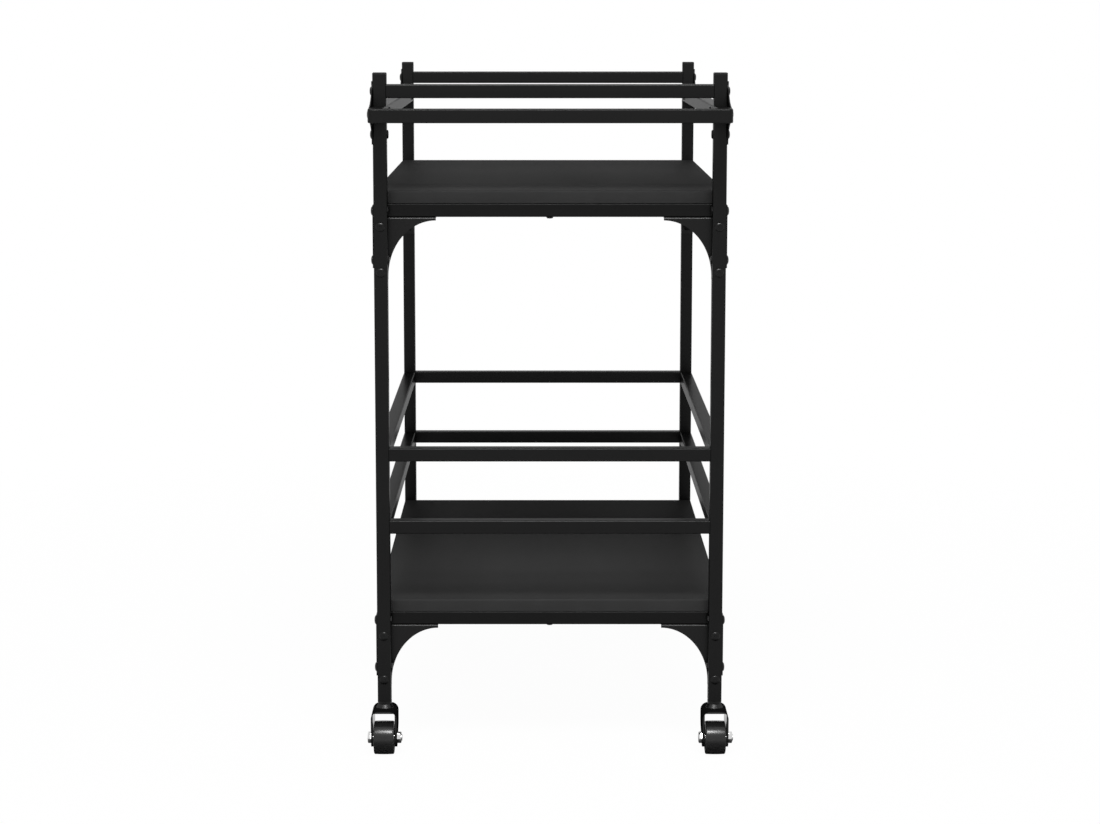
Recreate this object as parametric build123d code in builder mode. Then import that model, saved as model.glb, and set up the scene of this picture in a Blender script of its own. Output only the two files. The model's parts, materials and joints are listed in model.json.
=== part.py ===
from build123d import *
import os

# Kitchen cart: a square-tube frame with two boards, guard rails, a push handle and four swivel casters.
# The origin is on the floor under the middle of the cart, +X to the right, -Y to the handle's end, +Z up.

# Overall sizes, in millimetres
cart_width = 411.0  # over the side faces of the posts
post_span = 620.0  # over the end faces of the posts
cart_height = 810.0  # floor to the top of the post caps
caster_height = 62.0  # floor to the lower ends of the posts
handle_reach = 85.0  # front faces of the posts to the front of the handle

# Square tube
tube = 16.0
tube_wall = 1.2
tube_corner = 1.6
handle_corner = 5.0  # outside radius of the handle's corners
handle_crease = 1.0  # inside radius of the handle's corners

# Shelves and rails
board_thickness = 15.0
board_edge = 2.0
board_gap = 0.5  # between a board's ends and the posts
upper_shelf_drop = 137.5  # top of the cart to the top of the upper board
lower_shelf_rise = 121.5  # lower ends of the posts to the top of the lower board
top_rail_drop = 21.5  # top of the cart to the middle of the top cross rails
low_guard_rise = 91.0  # top of the lower board to the middle of the lower guard rails
high_guard_rise = 178.0  # top of the lower board to the middle of the upper guard rails

# Flat plates bolted to the side faces of the posts
plate = 1.2
plate_inset = 1.0  # edge of a plate inside the edge of the tube that it lies on
gusset_pitch = 57.5  # between the bolts along each leg of a side gusset
gusset_margin = 9.0  # last bolt to the end of a leg of a side gusset
wing_reach = 58.0  # face of the post to the end of a joint plate's wing
wing_bolt_reach = 40.0  # face of the post to the bolt in a wing
wing_bolt_rise = 25.0  # middle of the side rail to each of a joint plate's post bolts
wing_margin = 11.5  # post bolt to the end of a joint plate

# Folded gussets under the cross rails of the shelves
end_plate = 1.5
end_bend = 1.0  # inside radius of the fold
end_height = 73.5
end_reach = 56.0  # inner face of the post to the gusset's tip
end_tip = 4.0
end_foot = 4.0  # straight end of the leg below the round edge
end_flange = 13.0
end_bolt_drop = 10.0  # top of the gusset to its first bolt
end_bolt_pitch = 53.5
end_screw_reach = 36.0  # inner face of the post to the screw in the flange

# Fasteners
bolt_radius = 3.0
head_radius = 5.75
head_height = 2.3
head_bevel = 1.0
nut_hex = 10.0  # across flats
nut_height = 2.5
nut_bevel = 0.6
bolt_grip = 1.8  # length of thread inside a cap nut
screw_radius = 2.0
screw_head_radius = 4.0
screw_head_height = 2.2
board_screw_bite = 8.0
flange_screw_bite = 6.0
thread_gap = 0.05  # a thread in its nut, plug or board
bolt_gap = 0.15  # a bolt in a plain hole

# Plugs in the ends of tubes
plug_gap = 0.1
cap_top = 2.0
cap_bevel = 0.8
cap_plug = 10.0
rail_plug = 20.0
rail_bolt_bite = 16.0
socket_length = 22.0
stem_short = 2.0  # end of a stem below the top of its socket

# Swivel casters
wheel_radius = 20.0
wheel_width = 23.8
wheel_edge = 1.6
wheel_rim = 4.5
wheel_web = 21.4
hub_radius = 6.0
hub_play = 0.25  # each side, between the hub and the fork
axle_radius = 4.0
axle_gap = 0.05
axle_hex = 12.0  # across flats
axle_turn = 30.0  # degrees, a flat to the front
axle_head = 4.2
axle_nut = 5.0
axle_end = 1.0  # thread beyond the nut
trail = 14.0  # swivel axis to the axle
fork_inner = 26.0
fork_sheet = 2.4
fork_shoulder = 9.0  # outside radius between the crown and the legs
fork_crease = 2.0  # inside radius between the crown and the legs
fork_boss = 11.0  # round lower end of each leg
fork_heel = 12.0  # round lower corner at the back of each leg
fork_back = 17.0  # swivel axis to the back of the fork
dome_height = 4.2
dome_radius = 11.0
dome_top_radius = 8.5
dome_bore = 7.5
collar_height = 3.2
collar_radius = 8.5
stem_radius = 4.0
stem_gap = 0.05
swivel_play = 0.3
rivet_radius = 6.0
rivet_height = 2.2

# Places that follow from those sizes
half_width = cart_width / 2
post_x = half_width - tube / 2
clear_width = cart_width - 2 * tube
clear_span = post_span - 2 * tube
tube_bore = tube - 2 * tube_wall
bore_corner = max(tube_corner - tube_wall, tube_wall / 4)
rear_overhang = fork_back - tube / 2
front_y = (handle_reach - post_span - rear_overhang) / 2
rear_y = front_y + post_span
middle_y = (front_y + rear_y) / 2
post_ys = {"front": front_y + tube / 2, "rear": rear_y - tube / 2}
post_xs = {"left": -post_x, "right": post_x}
shelf_rail_ys = {"front": front_y + 1.5 * tube, "rear": rear_y - 1.5 * tube}
post_tube_top = cart_height - cap_top
top_rail_z = cart_height - top_rail_drop
side_rail_z = top_rail_z - wing_bolt_rise
shelf_tops = {"upper": cart_height - upper_shelf_drop, "lower": caster_height + lower_shelf_rise}
shelf_rail_zs = {level: top - board_thickness - tube / 2 for level, top in shelf_tops.items()}
guard_zs = {"upper": shelf_tops["lower"] + high_guard_rise, "lower": shelf_tops["lower"] + low_guard_rise}
plate_leg = tube - 2 * plate_inset
middle_plane = Plane.XZ.offset(-middle_y)

# Places of the bolts: along X through the sides of the posts and rails, along Y through the ends of the posts
post_bolt_zs = [side_rail_z - wing_bolt_rise]
end_bolt_zs = []
for rail_z in shelf_rail_zs.values():
    post_bolt_zs += [rail_z, rail_z - gusset_pitch]
    first_z = rail_z - tube / 2 - end_bolt_drop
    end_bolt_zs += [first_z, first_z - end_bolt_pitch]
arm_bolt_y = front_y - wing_bolt_reach
wing_bolt_ys = [front_y + tube + wing_bolt_reach, rear_y - tube - wing_bolt_reach]
gusset_bolt_ys = [post_ys["front"] + gusset_pitch, post_ys["rear"] - gusset_pitch]
side_bolts_at = [(y, z) for y in post_ys.values() for z in post_bolt_zs]
side_bolts_at += [(arm_bolt_y, side_rail_z)] + [(y, side_rail_z) for y in wing_bolt_ys]
side_bolts_at += [(y, z) for z in shelf_rail_zs.values() for y in gusset_bolt_ys]
rail_bolts_at = [(y, top_rail_z) for y in post_ys.values()]
end_bolts_at = [(x, z) for x in post_xs.values() for z in end_bolt_zs]
flange_screw_xs = [-clear_width / 2 + end_screw_reach, clear_width / 2 - end_screw_reach]

# Plugs stop short of the bolts that cross the same tube
cap_depth = min(cap_plug, post_tube_top - top_rail_z - bolt_radius - bolt_gap)
socket_top = min(caster_height + socket_length, min(end_bolt_zs) - bolt_radius - bolt_gap)

os.makedirs("parts", exist_ok=True)


def square_tube(plane, length):
    """Hollow square tube along the normal of a plane, half of it each side."""
    with BuildPart() as piece:
        with BuildSketch(plane):
            RectangleRounded(tube, tube, tube_corner)
            RectangleRounded(tube_bore, tube_bore, bore_corner, mode=Mode.SUBTRACT)
        extrude(amount=length / 2, both=True)
    return piece.part


def drill(plane, points, radius, depth):
    """Round holes in the part in progress, both ways from a plane."""
    with BuildSketch(plane) as holes:
        with Locations(*points):
            Circle(radius)
    extrude(holes.sketch, amount=depth, both=True, mode=Mode.SUBTRACT)


def headed_pins(plane, points, head, height, bevel, shank, length):
    """Bolts or screws whose heads stand on a plane, with their shanks behind it."""
    with BuildSketch(plane) as heads:
        with Locations(*points):
            Circle(head)
    extrude(heads.sketch, amount=height)
    chamfer(edges(Select.LAST).filter_by(GeomType.CIRCLE).group_by(Axis(plane.origin, plane.z_dir))[-1], bevel)
    with BuildSketch(plane) as shanks:
        with Locations(*points):
            Circle(shank)
    extrude(shanks.sketch, amount=-length)


def cap_nuts_on(plane, points):
    """Six-sided cap nuts that stand on a plane, each with a blind thread."""
    with BuildSketch(plane) as bodies:
        with Locations(*points):
            RegularPolygon(nut_hex / 2, side_count=6, major_radius=False)
    extrude(bodies.sketch, amount=nut_height)
    chamfer(edges(Select.LAST).group_by(Axis(plane.origin, plane.z_dir))[-1], nut_bevel)
    with BuildSketch(plane) as bores:
        with Locations(*points):
            Circle(bolt_radius + thread_gap)
    extrude(bores.sketch, amount=bolt_grip, mode=Mode.SUBTRACT)


# Posts, drilled for the bolts that cross them
for end, y in post_ys.items():
    for side, x in post_xs.items():
        name = f"post_{end}_{side}"
        middle = (x, y, (caster_height + post_tube_top) / 2)
        with BuildPart() as post:
            add(square_tube(Plane(middle), post_tube_top - caster_height))
            side_holes = [(y, z) for z in post_bolt_zs + [top_rail_z]]
            drill(Plane.YZ.offset(x), side_holes, bolt_radius + bolt_gap, tube)
            drill(Plane.XZ.offset(-y), [(x, z) for z in end_bolt_zs], bolt_radius + bolt_gap, tube)
        post.part.label = name
        export_step(post.part, f"parts/{name}.step")

# Caps that close the tops of the posts
with BuildPart() as post_caps:
    for y in post_ys.values():
        for x in post_xs.values():
            with BuildSketch(Plane((x, y, post_tube_top))):
                RectangleRounded(tube, tube, tube_corner)
            extrude(amount=cap_top)
            chamfer(edges(Select.LAST).group_by(Axis.Z)[-1], cap_bevel)
            with BuildSketch(Plane((x, y, post_tube_top))):
                RectangleRounded(tube_bore - 2 * plug_gap, tube_bore - 2 * plug_gap, bore_corner)
            extrude(amount=-cap_depth)
post_caps.part.label = "post_caps"
export_step(post_caps.part, "parts/post_caps.step")

# Top cross rails, each with a threaded plug in both ends
for end, y in post_ys.items():
    name = f"top_rail_{end}"
    with BuildPart() as rail:
        add(square_tube(Plane((0, y, top_rail_z), x_dir=(0, 1, 0), z_dir=(1, 0, 0)), clear_width))
    rail.part.label = name
    export_step(rail.part, f"parts/{name}.step")

with BuildPart() as rail_plugs:
    for y in post_ys.values():
        for toward in (1, -1):
            rail_end = (toward * clear_width / 2, y, top_rail_z)
            with BuildSketch(Plane(rail_end, x_dir=(0, 1, 0), z_dir=(-toward, 0, 0))):
                RectangleRounded(tube_bore - 2 * plug_gap, tube_bore - 2 * plug_gap, bore_corner)
                Circle(bolt_radius + thread_gap, mode=Mode.SUBTRACT)
            extrude(amount=rail_plug)
rail_plugs.part.label = "rail_plugs"
export_step(rail_plugs.part, "parts/rail_plugs.step")

# Top side rails, between the posts
for side, x in post_xs.items():
    name = f"top_rail_{side}"
    with BuildPart() as rail:
        add(square_tube(Plane((x, middle_y, side_rail_z), x_dir=(1, 0, 0), z_dir=(0, 1, 0)), clear_span))
        drill(Plane.YZ.offset(x), [(y, side_rail_z) for y in wing_bolt_ys], bolt_radius + bolt_gap, tube)
    rail.part.label = name
    export_step(rail.part, f"parts/{name}.step")

# Push handle, one tightly bent tube whose ends stand on the front posts: half of a ring of tube
with BuildPart() as handle:
    ring_plane = Plane((0, front_y, side_rail_z))
    with BuildSketch(ring_plane) as ring:
        RectangleRounded(cart_width, 2 * handle_reach, handle_corner)
        RectangleRounded(clear_width, 2 * (handle_reach - tube), handle_crease, mode=Mode.SUBTRACT)
    extrude(amount=tube / 2, both=True)
    fillet(handle.faces().filter_by(Axis.Z).edges(), tube_corner)
    bore_width = clear_width + 2 * tube_wall
    bore_reach = handle_reach - tube + tube_wall
    with BuildSketch(ring_plane) as bore_ring:
        RectangleRounded(cart_width - 2 * tube_wall, 2 * (handle_reach - tube_wall), handle_corner - tube_wall)
        RectangleRounded(bore_width, 2 * bore_reach, handle_crease + tube_wall, mode=Mode.SUBTRACT)
    extrude(amount=tube_bore / 2, both=True, mode=Mode.SUBTRACT)
    split(bisect_by=Plane.XZ.offset(-front_y), keep=Keep.TOP)
    drill(Plane.YZ.offset(post_x), [(arm_bolt_y, side_rail_z)], bolt_radius + bolt_gap, tube)
    drill(Plane.YZ.offset(-post_x), [(arm_bolt_y, side_rail_z)], bolt_radius + bolt_gap, tube)
handle.part.label = "handle"
export_step(handle.part, "parts/handle.step")

# Guard rails round the lower shelf
for level, z in guard_zs.items():
    for end, y in post_ys.items():
        name = f"{level}_guard_{end}"
        with BuildPart() as rail:
            add(square_tube(Plane((0, y, z), x_dir=(0, 1, 0), z_dir=(1, 0, 0)), clear_width))
        rail.part.label = name
        export_step(rail.part, f"parts/{name}.step")
    for side, x in post_xs.items():
        name = f"{level}_guard_{side}"
        with BuildPart() as rail:
            add(square_tube(Plane((x, middle_y, z), x_dir=(1, 0, 0), z_dir=(0, 1, 0)), clear_span))
        rail.part.label = name
        export_step(rail.part, f"parts/{name}.step")

# Frames that carry the boards: side rails from post to post, with cross rails between them
for level, z in shelf_rail_zs.items():
    for end, y in shelf_rail_ys.items():
        name = f"{level}_shelf_rail_{end}"
        with BuildPart() as rail:
            add(square_tube(Plane((0, y, z), x_dir=(0, 1, 0), z_dir=(1, 0, 0)), clear_width))
            drill(Plane((0, y, z)), [(0, 0)], screw_radius + bolt_gap, tube)
            under = Plane((0, y, z - tube / 2))
            drill(under, [(x, 0) for x in flange_screw_xs], screw_radius + thread_gap, tube / 2)
        rail.part.label = name
        export_step(rail.part, f"parts/{name}.step")
    for side, x in post_xs.items():
        name = f"{level}_shelf_rail_{side}"
        with BuildPart() as rail:
            add(square_tube(Plane((x, middle_y, z), x_dir=(1, 0, 0), z_dir=(0, 1, 0)), clear_span))
            drill(Plane((x, middle_y, z)), [(0, 0)], screw_radius + bolt_gap, tube)
            drill(Plane.YZ.offset(x), [(y, z) for y in gusset_bolt_ys], bolt_radius + bolt_gap, tube)
        rail.part.label = name
        export_step(rail.part, f"parts/{name}.step")

# Boards, as wide as the cart and as long as the space between the posts
board_screws_at = [(0, y) for y in shelf_rail_ys.values()] + [(x, middle_y) for x in post_xs.values()]
for level, top in shelf_tops.items():
    name = f"{level}_shelf"
    with BuildPart() as board:
        with BuildSketch(Plane((0, middle_y, top - board_thickness))):
            Rectangle(cart_width, clear_span - 2 * board_gap)
        extrude(amount=board_thickness)
        chamfer(board.edges().filter_by(Plane.XY), board_edge)
        underside = Plane.XY.offset(top - board_thickness)
        drill(underside, board_screws_at, screw_radius + thread_gap, board_screw_bite)
    board.part.label = name
    export_step(board.part, f"parts/{name}.step")

# Side gussets: flat L-shaped plates over each post and the shelf rail behind it
for level, z in shelf_rail_zs.items():
    for side, toward in (("left", -1), ("right", 1)):
        name = f"{level}_{side}_gussets"
        with BuildPart() as gussets:
            corner_y = post_ys["front"] - plate_leg / 2
            corner_z = z + plate_leg / 2
            leg_end = plate_leg / 2 + gusset_pitch + gusset_margin
            with BuildSketch(Plane.YZ.offset(toward * half_width)) as outline:
                with BuildLine():
                    Polyline(
                        (corner_y + plate_leg, corner_z - leg_end),
                        (corner_y, corner_z - leg_end),
                        (corner_y, corner_z),
                        (corner_y + leg_end, corner_z),
                        (corner_y + leg_end, corner_z - plate_leg),
                    )
                    CenterArc((corner_y + leg_end, corner_z - leg_end), leg_end - plate_leg, 90, 90)
                make_face()
            extrude(amount=toward * plate)
            mirror(about=middle_plane)
            gusset_holes = [(y, z) for y in (*post_ys.values(), *gusset_bolt_ys)]
            gusset_holes += [(y, z - gusset_pitch) for y in post_ys.values()]
            drill(Plane.YZ.offset(toward * half_width), gusset_holes, bolt_radius + bolt_gap, 2 * plate)
        gussets.part.label = name
        export_step(gussets.part, f"parts/{name}.step")

# End gussets: folded plates on the inner faces of the posts, with a flange under the cross rail
for level, z in shelf_rail_zs.items():
    gusset_top = z - tube / 2
    fold_y = front_y + tube
    with BuildPart() as front_gussets:
        with BuildSketch(Plane.YZ.offset(-half_width)):
            with BuildLine():
                Polyline(
                    (fold_y, gusset_top - end_height),
                    (fold_y, gusset_top),
                    (fold_y + end_flange, gusset_top),
                    (fold_y + end_flange, gusset_top - end_plate),
                    (fold_y + end_plate, gusset_top - end_plate),
                    (fold_y + end_plate, gusset_top - end_height),
                    close=True,
                )
            folded = make_face()
            fillet(folded.vertices().sort_by_distance((fold_y, gusset_top))[0], end_bend + end_plate)
        extrude(amount=tube + end_reach)
        with BuildSketch(Plane.XZ.offset(-fold_y)):
            with BuildLine():
                tip = (-clear_width / 2 + end_reach, gusset_top - end_tip)
                foot = (-clear_width / 2, gusset_top - end_height + end_foot)
                EllipticalCenterArc((tip[0], foot[1]), end_reach, tip[1] - foot[1], start_angle=90, arc_size=90)
                Polyline(
                    foot,
                    (-clear_width / 2, gusset_top - end_height),
                    (-clear_width / 2 + end_reach, gusset_top - end_height),
                    tip,
                )
            make_face()
        extrude(amount=-2 * end_plate, mode=Mode.SUBTRACT)
        end_holes = [(-post_x, bolt_z) for bolt_z in end_bolt_zs]
        drill(Plane.XZ.offset(-fold_y), end_holes, bolt_radius + bolt_gap, 2 * end_plate)
        screw_at = (flange_screw_xs[0], shelf_rail_ys["front"])
        drill(Plane.XY.offset(gusset_top), [screw_at], screw_radius + bolt_gap, 2 * end_plate)
        mirror(about=Plane.YZ)
    with BuildPart() as rear_gussets:
        mirror(front_gussets.part, about=middle_plane)
    for end, gussets in (("front", front_gussets), ("rear", rear_gussets)):
        name = f"{level}_{end}_gussets"
        gussets.part.label = name
        export_step(gussets.part, f"parts/{name}.step")

# Joint plates at the tops of the posts, with a wing along the side rail and, in front, one along the handle
half_height = wing_bolt_rise + wing_margin
wing_end = tube / 2 + wing_reach
for end, wings in (("front", (-1, 1)), ("rear", (-1,))):
    name = f"{end}_joint_plates"
    with BuildPart() as joint_plates:
        with BuildSketch(Plane((half_width, post_ys[end], side_rail_z), x_dir=(0, 1, 0), z_dir=(1, 0, 0))):
            Rectangle(plate_leg, 2 * half_height)
            for wing in wings:
                with BuildLine():
                    Polyline(
                        (wing * plate_leg / 2, half_height),
                        (0, half_height),
                        (0, 0),
                        (wing * wing_end, 0),
                        (wing * wing_end, plate_leg / 2),
                    )
                    EllipticalCenterArc(
                        (wing * wing_end, half_height),
                        wing_end - plate_leg / 2,
                        half_height - plate_leg / 2,
                        start_angle=180 if wing > 0 else 270,
                        arc_size=90,
                    )
                make_face()
            mirror(about=Plane.XZ)
            with Locations((0, wing_bolt_rise), (0, -wing_bolt_rise)):
                Circle(bolt_radius + bolt_gap, mode=Mode.SUBTRACT)
            with Locations(*[(wing * (tube / 2 + wing_bolt_reach), 0) for wing in wings]):
                Circle(bolt_radius + bolt_gap, mode=Mode.SUBTRACT)
        extrude(amount=plate)
        mirror(about=Plane.YZ)
    joint_plates.part.label = name
    export_step(joint_plates.part, f"parts/{name}.step")

# Bolts, cap nuts and screws
with BuildPart() as side_bolts:
    for toward in (1, -1):
        outside = Plane((toward * (half_width + plate), 0, 0), x_dir=(0, 1, 0), z_dir=(toward, 0, 0))
        points = [(y, toward * z) for y, z in side_bolts_at]
        length = plate + tube + bolt_grip
        headed_pins(outside, points, head_radius, head_height, head_bevel, bolt_radius, length)
side_bolts.part.label = "side_bolts"
export_step(side_bolts.part, "parts/side_bolts.step")

with BuildPart() as rail_bolts:
    for toward in (1, -1):
        outside = Plane((toward * (half_width + plate), 0, 0), x_dir=(0, 1, 0), z_dir=(toward, 0, 0))
        points = [(y, toward * z) for y, z in rail_bolts_at]
        length = plate + tube + rail_bolt_bite
        headed_pins(outside, points, head_radius, head_height, head_bevel, bolt_radius, length)
rail_bolts.part.label = "rail_bolts"
export_step(rail_bolts.part, "parts/rail_bolts.step")

with BuildPart() as end_bolts:
    for toward, face_y in ((-1, front_y), (1, rear_y)):
        outside = Plane((0, face_y, 0), x_dir=(1, 0, 0), z_dir=(0, toward, 0))
        points = [(x, -toward * z) for x, z in end_bolts_at]
        length = tube + end_plate + bolt_grip
        headed_pins(outside, points, head_radius, head_height, head_bevel, bolt_radius, length)
end_bolts.part.label = "end_bolts"
export_step(end_bolts.part, "parts/end_bolts.step")

with BuildPart() as cap_nuts:
    for toward in (1, -1):
        inside = Plane((toward * clear_width / 2, 0, 0), x_dir=(0, 1, 0), z_dir=(-toward, 0, 0))
        cap_nuts_on(inside, [(y, -toward * z) for y, z in side_bolts_at])
    for toward, face_y in ((-1, front_y), (1, rear_y)):
        inside = Plane((0, face_y - toward * (tube + end_plate), 0), x_dir=(1, 0, 0), z_dir=(0, -toward, 0))
        cap_nuts_on(inside, [(x, toward * z) for x, z in end_bolts_at])
cap_nuts.part.label = "cap_nuts"
export_step(cap_nuts.part, "parts/cap_nuts.step")

with BuildPart() as board_screws:
    for z in shelf_rail_zs.values():
        under = Plane((0, 0, z - tube / 2), x_dir=(1, 0, 0), z_dir=(0, 0, -1))
        points = [(x, -y) for x, y in board_screws_at]
        length = tube + board_screw_bite
        headed_pins(under, points, screw_head_radius, screw_head_height, head_bevel, screw_radius, length)
board_screws.part.label = "board_screws"
export_step(board_screws.part, "parts/board_screws.step")

with BuildPart() as flange_screws:
    for z in shelf_rail_zs.values():
        under = Plane((0, 0, z - tube / 2 - end_plate), x_dir=(1, 0, 0), z_dir=(0, 0, -1))
        points = [(x, -y) for x in flange_screw_xs for y in shelf_rail_ys.values()]
        length = end_plate + flange_screw_bite
        headed_pins(under, points, screw_head_radius, screw_head_height, head_bevel, screw_radius, length)
flange_screws.part.label = "flange_screws"
export_step(flange_screws.part, "parts/flange_screws.step")

# Casters: a stem in a socket under each post, and a fork that turns on it with the wheel between its legs
dome_top = caster_height - collar_height - swivel_play
crown_top = dome_top - dome_height
crown_low = crown_top - fork_sheet
fork_width = fork_inner + 2 * fork_sheet
fork_front = trail + fork_boss
fork_depth = fork_front + fork_back
heel_z = (crown_low + wheel_radius) / 2
caster_ats = {f"{end}_{side}": (x, y) for end, y in post_ys.items() for side, x in post_xs.items()}

with BuildPart() as stem_sockets:
    for x, y in caster_ats.values():
        with BuildSketch(Plane((x, y, caster_height))):
            RectangleRounded(tube_bore - 2 * plug_gap, tube_bore - 2 * plug_gap, bore_corner)
            Circle(stem_radius + thread_gap, mode=Mode.SUBTRACT)
        extrude(amount=socket_top - caster_height)
stem_sockets.part.label = "stem_sockets"
export_step(stem_sockets.part, "parts/stem_sockets.step")

with BuildPart() as caster_stems:
    rivet_top = dome_top - fork_sheet - swivel_play
    for x, y in caster_ats.values():
        with BuildSketch(Plane((x, y, 0), x_dir=(1, 0, 0), z_dir=(0, -1, 0))):
            with BuildLine():
                Polyline(
                    (0, rivet_top - rivet_height),
                    (stem_radius, rivet_top - rivet_height),
                    (rivet_radius, rivet_top),
                    (stem_radius, rivet_top),
                    (stem_radius, caster_height - collar_height),
                    (collar_radius, caster_height - collar_height),
                    (collar_radius, caster_height),
                    (stem_radius, caster_height),
                    (stem_radius, socket_top - stem_short),
                    (0, socket_top - stem_short),
                    close=True,
                )
            make_face()
        revolve(axis=Axis((x, y, 0), (0, 0, 1)))
caster_stems.part.label = "caster_stems"
export_step(caster_stems.part, "parts/caster_stems.step")

for corner, (x, y) in caster_ats.items():
    axle_y = y - trail
    with BuildPart() as fork:
        back = Plane((x, y + fork_back, 0), x_dir=(1, 0, 0), z_dir=(0, -1, 0))
        with BuildSketch(back):
            with Locations((0, crown_top / 2)):
                bow = Rectangle(fork_width, crown_top)
            fillet(bow.vertices().group_by(Axis.Y)[-1], fork_shoulder)
        extrude(amount=fork_depth)
        with BuildSketch(back):
            with Locations((0, crown_low / 2)):
                bay = Rectangle(fork_inner, crown_low)
            fillet(bay.vertices().group_by(Axis.Y)[-1], fork_crease)
        extrude(amount=fork_depth, mode=Mode.SUBTRACT)
        with BuildSketch(Plane((x, y, 0), x_dir=(0, 1, 0), z_dir=(1, 0, 0))):
            with Locations((fork_back - fork_depth / 2, crown_top - fork_shoulder / 2)):
                Rectangle(fork_depth, fork_shoulder)
            with Locations((-trail, wheel_radius)):
                Circle(fork_boss)
            with Locations((fork_back - fork_heel, heel_z)):
                Circle(fork_heel)
            make_hull()
        extrude(amount=fork_width, both=True, mode=Mode.INTERSECT)
        with BuildSketch(Plane((x, y, 0), x_dir=(1, 0, 0), z_dir=(0, -1, 0))):
            with BuildLine():
                Polyline(
                    (0, crown_low),
                    (dome_radius, crown_low),
                    (dome_radius, crown_top),
                    (dome_top_radius, dome_top),
                    (0, dome_top),
                    close=True,
                )
            make_face()
        revolve(axis=Axis((x, y, 0), (0, 0, 1)))
        drill(Plane((x, y, crown_low)), [(0, 0)], dome_bore, dome_top - fork_sheet - crown_low)
        drill(Plane((x, y, dome_top)), [(0, 0)], stem_radius + stem_gap, dome_height)
        drill(Plane.YZ.offset(x), [(axle_y, wheel_radius)], axle_radius + axle_gap, fork_width)
    fork.part.label = f"fork_{corner}"
    export_step(fork.part, f"parts/fork_{corner}.step")

    with BuildPart() as axle:
        left_face = Plane((x - fork_width / 2, axle_y, wheel_radius), x_dir=(0, 1, 0), z_dir=(-1, 0, 0))
        right_face = Plane((x + fork_width / 2, axle_y, wheel_radius), x_dir=(0, 1, 0), z_dir=(1, 0, 0))
        with BuildSketch(left_face):
            RegularPolygon(axle_hex / 2, side_count=6, major_radius=False, rotation=axle_turn)
        extrude(amount=axle_head)
        with BuildSketch(left_face):
            Circle(axle_radius)
        extrude(amount=-(fork_width + axle_nut + axle_end))
        with BuildSketch(right_face):
            RegularPolygon(axle_hex / 2, side_count=6, major_radius=False, rotation=axle_turn)
            Circle(axle_radius + axle_gap, mode=Mode.SUBTRACT)
        extrude(amount=axle_nut)
    axle.part.label = f"axle_{corner}"
    export_step(axle.part, f"parts/axle_{corner}.step")

    with BuildPart() as wheel:
        hub_half = fork_inner / 2 - hub_play
        bore = axle_radius + axle_gap
        rim_inner = wheel_radius - wheel_rim
        with BuildSketch(Plane((x, axle_y, wheel_radius), x_dir=(1, 0, 0), z_dir=(0, -1, 0))):
            with BuildLine():
                Polyline(
                    (0, bore),
                    (hub_half, bore),
                    (hub_half, hub_radius),
                    (wheel_web / 2, hub_radius),
                    (wheel_web / 2, rim_inner),
                    (wheel_width / 2, rim_inner),
                    (wheel_width / 2, wheel_radius - wheel_edge),
                )
                JernArc((wheel_width / 2, wheel_radius - wheel_edge), (0, 1), wheel_edge, 90)
                Polyline((wheel_width / 2 - wheel_edge, wheel_radius), (0, wheel_radius), (0, bore))
            make_face()
            mirror(about=Plane.YZ)
        revolve(axis=Axis((x, axle_y, wheel_radius), (1, 0, 0)))
    wheel.part.label = f"wheel_{corner}"
    export_step(wheel.part, f"parts/wheel_{corner}.step")
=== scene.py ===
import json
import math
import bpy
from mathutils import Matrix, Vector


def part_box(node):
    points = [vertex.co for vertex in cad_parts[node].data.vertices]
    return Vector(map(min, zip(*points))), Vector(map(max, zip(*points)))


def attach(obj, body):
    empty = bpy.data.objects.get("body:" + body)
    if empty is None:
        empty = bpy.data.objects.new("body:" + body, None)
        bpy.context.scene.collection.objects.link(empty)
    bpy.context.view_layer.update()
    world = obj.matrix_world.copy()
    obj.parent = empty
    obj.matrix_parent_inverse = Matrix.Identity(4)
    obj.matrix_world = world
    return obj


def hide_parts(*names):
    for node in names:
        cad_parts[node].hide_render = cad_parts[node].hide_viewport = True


bl_info = {
    "name": "Kitchen Cart Looks",
    "version": (1, 0, 0),
    "blender": (4, 5, 0),
    "location": "3D View > Sidebar > Cart",
    "description": "Finishes a rolling kitchen cart: frame, boards, fasteners, casters and a plain studio",
    "category": "Object",
}

from collections import namedtuple

import bmesh
import bpy
from bpy.props import FloatProperty, FloatVectorProperty, IntProperty, PointerProperty
from mathutils import Matrix, Vector

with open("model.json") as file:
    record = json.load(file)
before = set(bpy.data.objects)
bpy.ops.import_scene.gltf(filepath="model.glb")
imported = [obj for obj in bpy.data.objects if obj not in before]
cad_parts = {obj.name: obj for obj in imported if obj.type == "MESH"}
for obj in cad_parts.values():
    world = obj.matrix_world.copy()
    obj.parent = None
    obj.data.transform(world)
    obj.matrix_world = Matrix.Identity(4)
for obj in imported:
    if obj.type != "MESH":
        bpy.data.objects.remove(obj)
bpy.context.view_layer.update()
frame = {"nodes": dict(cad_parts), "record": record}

LEVELS = ("upper", "lower")
ENDS = ("front", "rear")
CORNERS = ("front_left", "front_right", "rear_left", "rear_right")
MIDDLE_Y = sum(corner.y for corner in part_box("upper_shelf")) / 2
FRONT_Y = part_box("post_front_left")[0].y

# Mesh settings
MERGE = 1e-6  # metres between points that are one
SAME_HEIGHT = 1e-7  # metres within which points lie at one height
SHARP = 35.0  # degrees between two faces whose edge stays sharp
WHEEL_SHARP = 40.0  # the same on a wheel
HEX_SIDES = 6
HEX_TURN = math.pi / HEX_SIDES

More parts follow.
